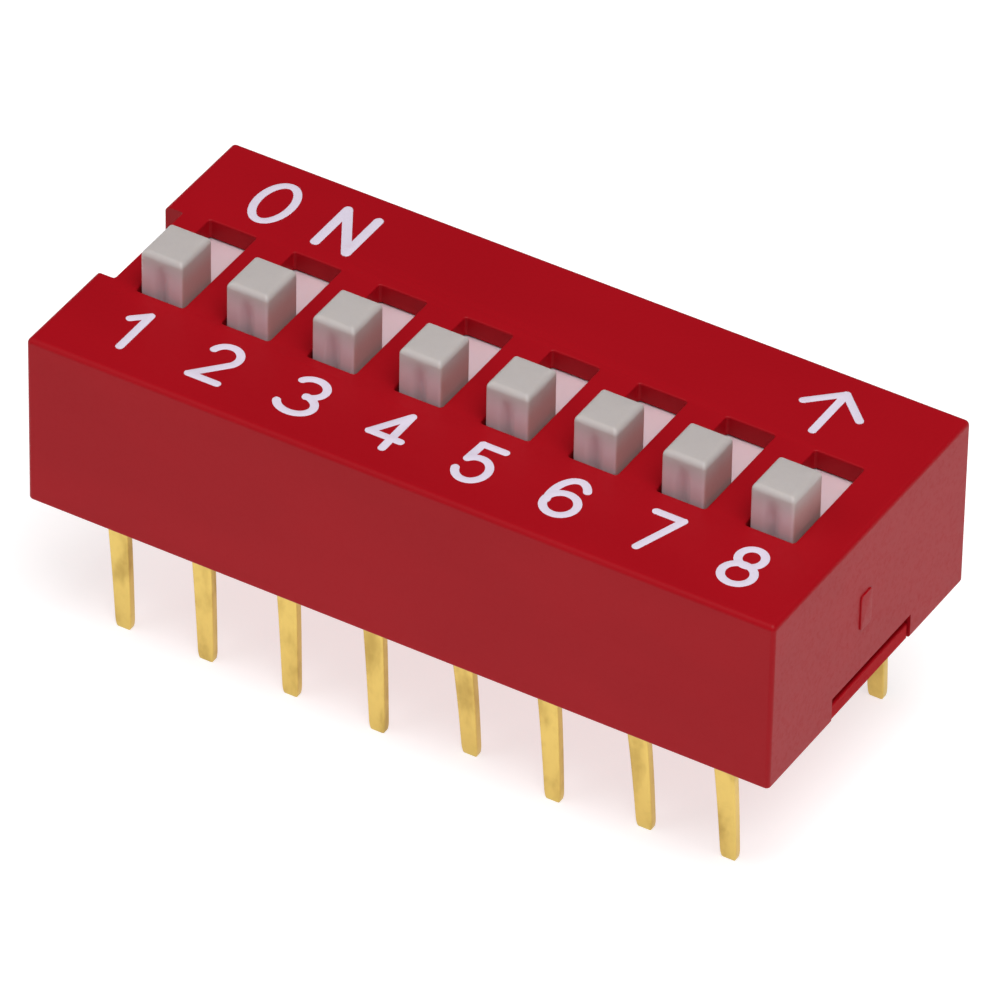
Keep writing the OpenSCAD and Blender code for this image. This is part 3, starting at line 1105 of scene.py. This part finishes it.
@dataclass
class Legend(Piece):
    """Pad print on the cover's top: the switch numbers, ON, and an arrow towards the ON side."""

    stroke: float = 0.225
    film: float = 0.012
    step: float = 0.0008
    digit_half_w: float = 0.42
    digit_half_h: float = 0.73
    digit_x: float = 0.12
    digit_y: float = -3.2

    def ribbon(self, path: np.ndarray, stroke: float, film: float, top: float) -> Surface:
        """Surface of one inked stroke: a low band with round ends, carried along its middle line.

        At an end the band runs on by half its width times the sine of an angle and narrows as its cosine.

        Args:
            path: Array (n, 2) of points, whose last is its first on a closed stroke.
            stroke: Width of the band.
            film: Thickness of the ink.
            top: Height of the surface that is printed on.

        Returns:
            The surface.
        """
        closed = bool(np.allclose(path[0], path[-1]))
        if closed:
            centre = path[:-1]
            along = np.roll(centre, -1, 0) - np.roll(centre, 1, 0)
            width = np.ones(len(centre))
        else:
            bow = np.radians(np.linspace(82, 0, 6))
            turn = np.gradient(path, axis=0)
            turn /= np.linalg.norm(turn, axis=1, keepdims=True)
            reach = stroke / 2 * np.sin(bow)[:, None]
            first, last = path[0] - turn[0] * reach, path[-1] + turn[-1] * reach[::-1]
            centre = np.concatenate([first, path[1:-1], last])
            along = np.concatenate([turn[:1].repeat(6, 0), turn[1:-1], turn[-1:].repeat(6, 0)])
            width = np.concatenate([np.cos(bow), np.ones(len(path) - 2), np.cos(bow[::-1])])
        along = along / np.linalg.norm(along, axis=1, keepdims=True)
        normal = np.stack([-along[:, 1], along[:, 0]], -1)
        across = np.array([-1, -1, -0.85, 0, 0.85, 1, 1]) * stroke / 2
        rise = np.array([-0.02, film * 0.5, film, film, film, film * 0.5, -0.02]) + top
        flat = centre[:, None] + normal[:, None] * (width[:, None] * across)[..., None]
        points = np.concatenate([flat, np.broadcast_to(rise[:, None], flat.shape[:2] + (1,))], 2)
        return Surface().rings(points, closed=closed, caps=not closed)

    def sign(self, sign: str, middle: Pair, half: Pair, name: str, weight: float = 1.0) -> None:
        """Prints one sign.

        Args:
            sign: Which one.
            middle: Its centre on the cover's top.
            half: Half its width and height, between the strokes' middle lines.
            name: Name of the piece.
            weight: How bold its strokes are.
        """
        top = node_box("cover")[1, 2]
        width = self.stroke * weight
        mesh: Optional[Mesh] = None
        for index, line in enumerate(strokes(sign)):
            path = np.array(middle) + line * np.array(half)
            stroke = self.ribbon(path, width, self.film + index * self.step, top).mesh(name)
            mesh = combined(mesh, stroke, Cut.TOGETHER) if mesh else stroke
        self.place(mesh, HOUSING, "print")

    def build(self) -> None:
        """Prints every sign."""
        size = self.digit_half_w, self.digit_half_h
        for number in SWITCHES:
            middle = switch_x(number) + self.digit_x, self.digit_y
            self.sign(str(number), middle, size, f"print_digit_{number}")
        self.sign("O", (-8.55, 3.2), (0.47, 0.82), "print_letter_o")
        self.sign("N", (-6.37, 3.17), (0.46, 0.79), "print_letter_n", 1.18)
        self.sign("^", (7.74, 3.24), (0.9, 0.86), "print_arrow")


# Studio


@dataclass
class Softbox:
    """A square area light that faces the part."""

    name: str
    azimuth: float
    elevation: float
    size: float
    radiance: float
    distance: float = 260

    def build(self, aim: Vector) -> None:
        """Makes the light; its power is its radiance times its area and pi.

        Args:
            aim: The point that it faces.
        """
        light = bpy.data.lights.new(self.name, "AREA")
        light.shape = "SQUARE"
        light.size = self.size * MM
        light.energy = self.radiance * (self.size * MM) ** 2 * math.pi
        lamp = linked(self.name, light)
        lamp.matrix_world = facing(aim, self.azimuth, self.elevation, self.distance)


def facing(aim: Vector, azimuth: float, elevation: float, distance: float) -> Matrix:
    """Placement of a light or a camera that looks back at a point from some distance.

    Args:
        aim: The point, in millimetres.
        azimuth: Angle from -Y towards +X, in degrees.
        elevation: Angle above the level, in degrees.
        distance: In millimetres.

    Returns:
        The placement, in metres.
    """
    turn, rise = math.radians(azimuth), math.radians(elevation)
    out = Vector((math.sin(turn) * math.cos(rise), -math.cos(turn) * math.cos(rise), math.sin(rise)))
    turned = (-out).to_track_quat("-Z", "Y").to_matrix().to_4x4()
    return Matrix.Translation((aim + out * distance) * MM) @ turned


@dataclass
class Studio:
    """Camera, lights, paper floor and the faint light of the room."""

    aim: Triple = (1.1, -1.605, 2.81)
    distance: float = 286.5
    azimuth: float = 30.41
    elevation: float = 38.49
    roll: float = 1.12
    lens: float = 412.23
    sensor: float = 36.0
    near: float = 10.0
    far: float = 20000.0
    room: float = 0.08
    floor_half: float = 2500.0
    paper: StudioPaper = StudioPaper()

    def camera(self) -> None:
        """Places the camera."""
        lens = bpy.data.cameras.new("camera")
        lens.lens = self.lens
        lens.sensor_width = self.sensor
        lens.clip_start = self.near * MM
        lens.clip_end = self.far * MM
        camera = linked("camera", lens)
        level = facing(Vector(self.aim), self.azimuth, self.elevation, self.distance)
        camera.matrix_world = level @ Matrix.Rotation(math.radians(self.roll), 4, "Z")
        bpy.context.scene.camera = camera

    def floor(self) -> None:
        """Lays the paper where the pins' tips rest."""
        loop = rounded_loops(self.floor_half, self.floor_half, 100.0)[0]
        mesh = Surface().sheet([loop], float(CAD_BOX[0][2]) / MM).mesh("floor")
        floor = linked("floor", mesh)
        mesh.materials.append(self.paper.material())

    def build(self) -> None:
        """Sets the studio up."""
        scene = bpy.context.scene
        scene.view_settings.view_transform = "Standard"
        world = bpy.data.worlds.new("room")
        world.use_nodes = True
        world.node_tree.nodes["Background"].inputs["Color"].default_value = (1.0, 1.0, 1.0, 1.0)
        world.node_tree.nodes["Background"].inputs["Strength"].default_value = self.room
        scene.world = world
        self.camera()
        self.floor()
        softboxes = (
            Softbox("overhead", azimuth=60, elevation=72, size=200, radiance=5.4),
            Softbox("key", azimuth=-55, elevation=38, size=240, radiance=1.05),
            Softbox("side", azimuth=70, elevation=35, size=200, radiance=0.2),
        )
        for softbox in softboxes:
            softbox.build(Vector(self.aim))


# The whole part


COVER_RED = Moulding(
    "cover_plastic",
    colour=(0.355, 0.0032, 0.0088),
    shade=(0.33, 0.0026, 0.0078),
    roughness=0.42,
    reflection=0.11,
)
BASE_RED = Moulding(
    "base_plastic",
    colour=(0.42, 0.004, 0.01),
    shade=(0.38, 0.003, 0.008),
    roughness=0.5,
    reflection=0.02,
)
KNOB_IVORY = Moulding(
    "knob_plastic",
    colour=(0.495, 0.455, 0.44),
    shade=(0.465, 0.425, 0.415),
    roughness=0.45,
    glow=0.3,
    # painted red reflected light on the knob's lower walls and plate
    blush=(0.67, 0.51, 0.545),
)

# How far each pin's tip leans along X and Y, from switch 1 to switch 8.
PIN_LEANS = {
    Row.FRONT: (
        (0.28, -0.05), (0.22, -0.03), (0.24, -0.07), (0.32, -0.12),
        (0.25, 0.33), (0.4, -0.1), (0.36, 0.2), (0.2, 0.3),
    ),
    Row.REAR: ((0.1, 0.05),) * 7 + ((0.18, 0.16),),
}


def dress_contacts(finish: Material) -> None:
    """Gives the sliding contacts, whose CAD shape is final, their plating.

    Args:
        finish: The plating.
    """
    for number in SWITCHES:
        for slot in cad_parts[f"contact_{number}"].material_slots:
            slot.material = finish
    LOG.info("contacts: plated")


def main() -> None:
    """Builds the studio and every piece."""
    logging.basicConfig(level=logging.INFO, format="%(name)s: %(message)s")
    Studio().build()
    gold = GoldPlate().material()
    epoxy = PouredEpoxy().material()
    Cover(COVER_RED.material()).build()
    Base(BASE_RED.material()).build()
    for row in Row:
        Seal(epoxy, row).build()
        for number in SWITCHES:
            Terminal(gold, row, number, PIN_LEANS[row][number - 1]).build()
    ivory = KNOB_IVORY.material()
    for number in SWITCHES:
        Slider(ivory, number).build()
    dress_contacts(gold)
    Legend(PrintInk().material()).build()


if __name__ == "__main__":
    main()
